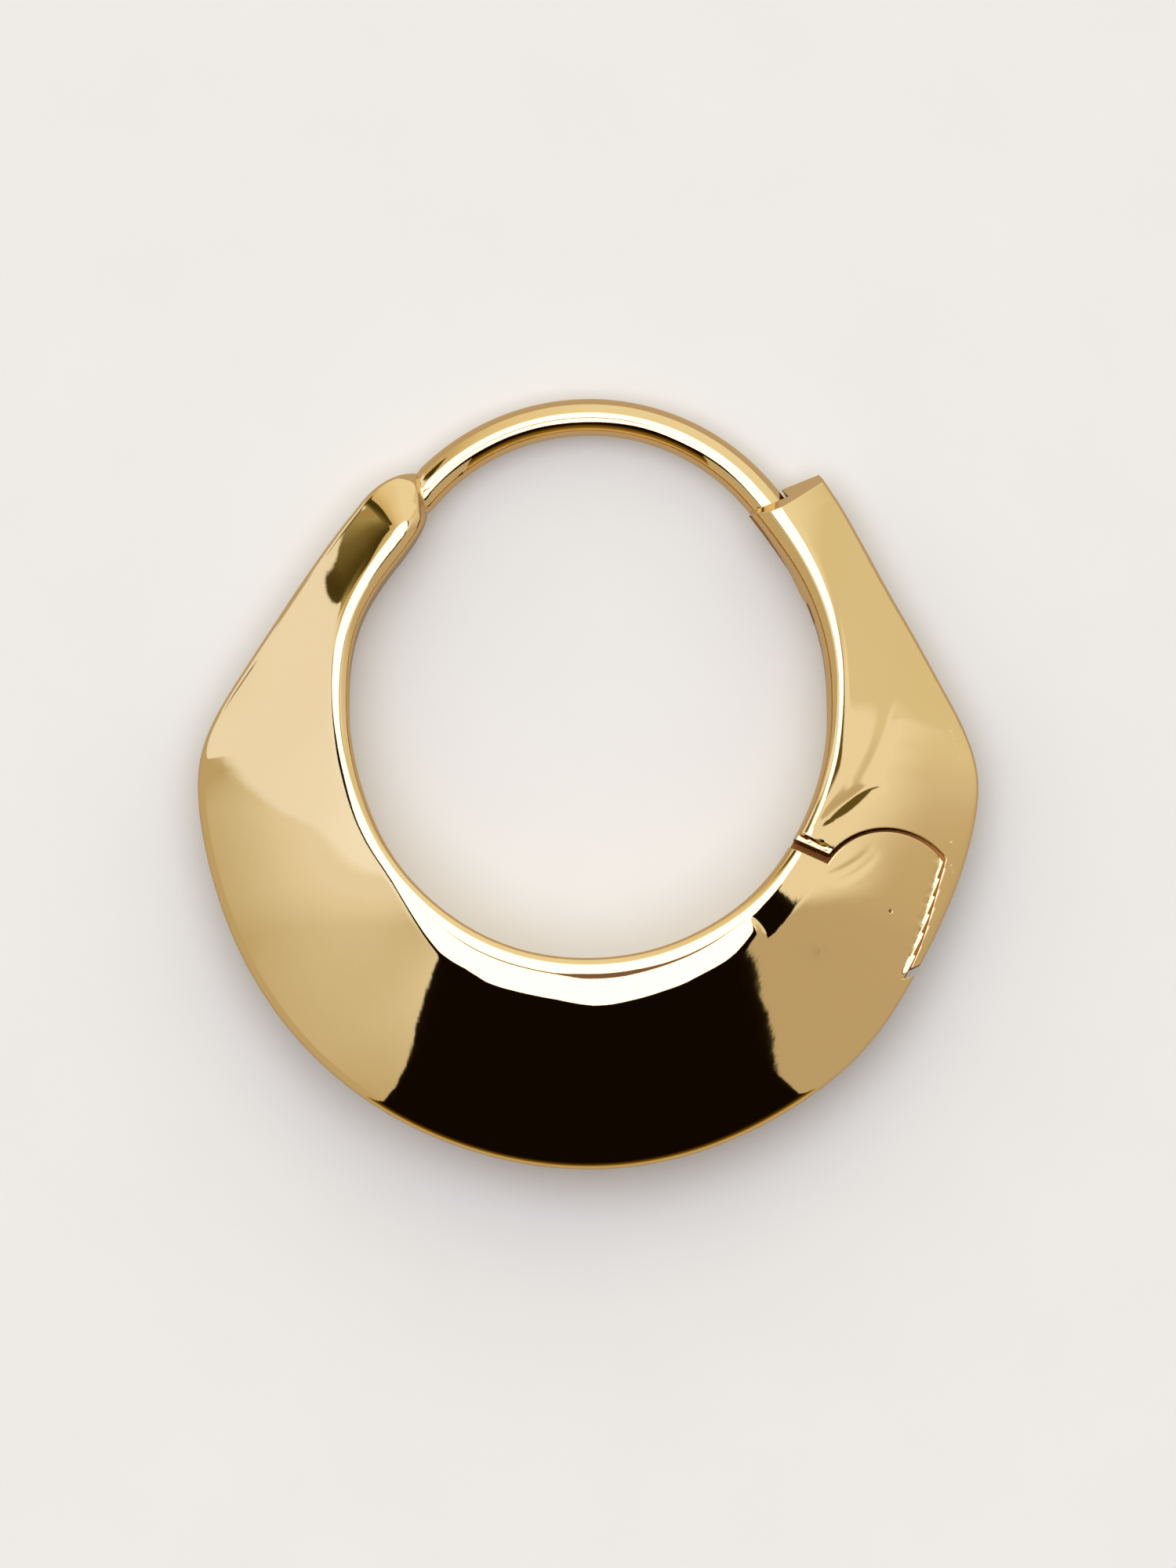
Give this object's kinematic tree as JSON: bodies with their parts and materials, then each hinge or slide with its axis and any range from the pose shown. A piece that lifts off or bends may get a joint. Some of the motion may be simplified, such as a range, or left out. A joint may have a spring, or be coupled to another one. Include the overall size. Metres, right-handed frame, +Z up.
{
  "type": "hinged hoop earring",
  "caption": "Hinged hoop earring: a polished gold-coloured crescent with a soldered ear wire and a hinged arm that catches the wire's free end.",
  "frame": {"origin": "centre of the earring's footprint, on the surface that it lies on", "axes": "+Z up from the surface, through the hoop's opening; +Y towards the ear wire; +X towards the hinge of the arm"},
  "size_m": [0.0212, 0.021, 0.0043],
  "materials": {
    "polished_gold": "mirror polish",
    "pin_metal": "satin"
  },
  "bodies": {
    "hoop": {"hoop_body": "polished_gold", "hinge_pin": "pin_metal"},
    "arm": {"hinged_arm": "polished_gold"}
  },
  "joints": [
    {"name": "arm_hinge", "type": "hinge", "parent": "hoop", "child": "arm", "pos_m": [0.00814, -0.00328, 0.002], "axis": [0, -0.084, -0.9965], "range_deg": [0, 75]}
  ]
}
